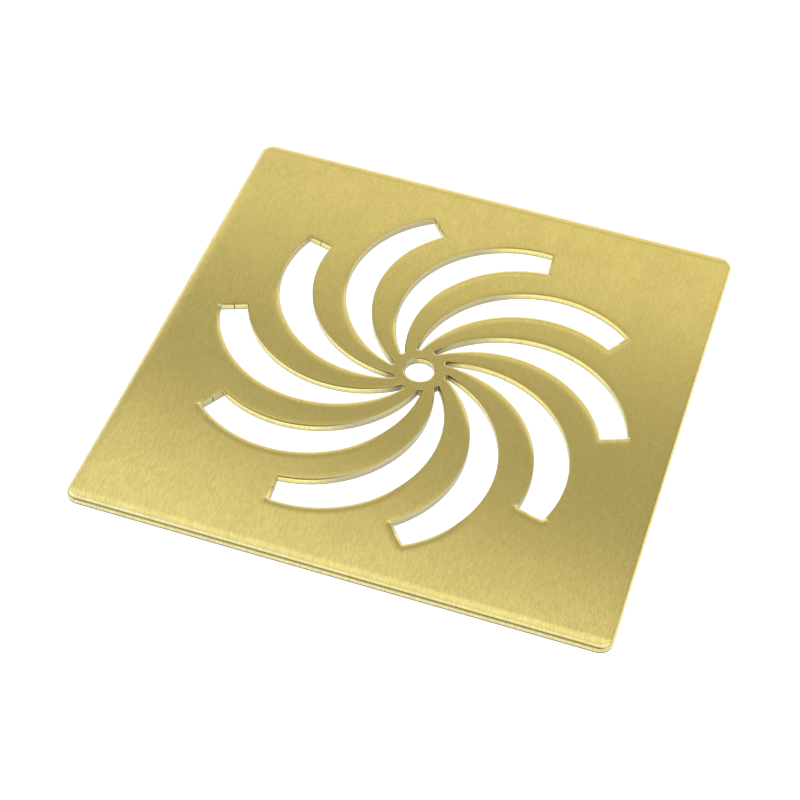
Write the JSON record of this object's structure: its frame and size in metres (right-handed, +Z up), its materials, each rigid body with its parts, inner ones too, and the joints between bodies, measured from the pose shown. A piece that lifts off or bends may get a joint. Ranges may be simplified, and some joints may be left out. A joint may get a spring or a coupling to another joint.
{
  "type": "floor drain grate",
  "caption": "Flat square floor drain grate in brushed brass, with a swirl of curved slots around a round centre hole, standing on rubber-footed locating studs.",
  "frame": {"origin": "on the seat plane that the four feet rest on, under the plate's centre", "axes": "+Z up, out of the floor; +Y to the back edge and +X to the right edge of the plate, as it is seen from above"},
  "size_m": [0.1, 0.1, 0.0075],
  "materials": {
    "plate_brass": "brushed",
    "stud_brass": "turned",
    "foot_rubber": "matte"
  },
  "bodies": {
    "root": {"grate_plate": "plate_brass", "locating_stud_front_left": "stud_brass", "locating_stud_front_right": "stud_brass", "locating_stud_back_left": "stud_brass", "locating_stud_back_right": "stud_brass", "rubber_foot_front_left": "foot_rubber", "rubber_foot_front_right": "foot_rubber", "rubber_foot_back_left": "foot_rubber", "rubber_foot_back_right": "foot_rubber"}
  },
  "joints": []
}
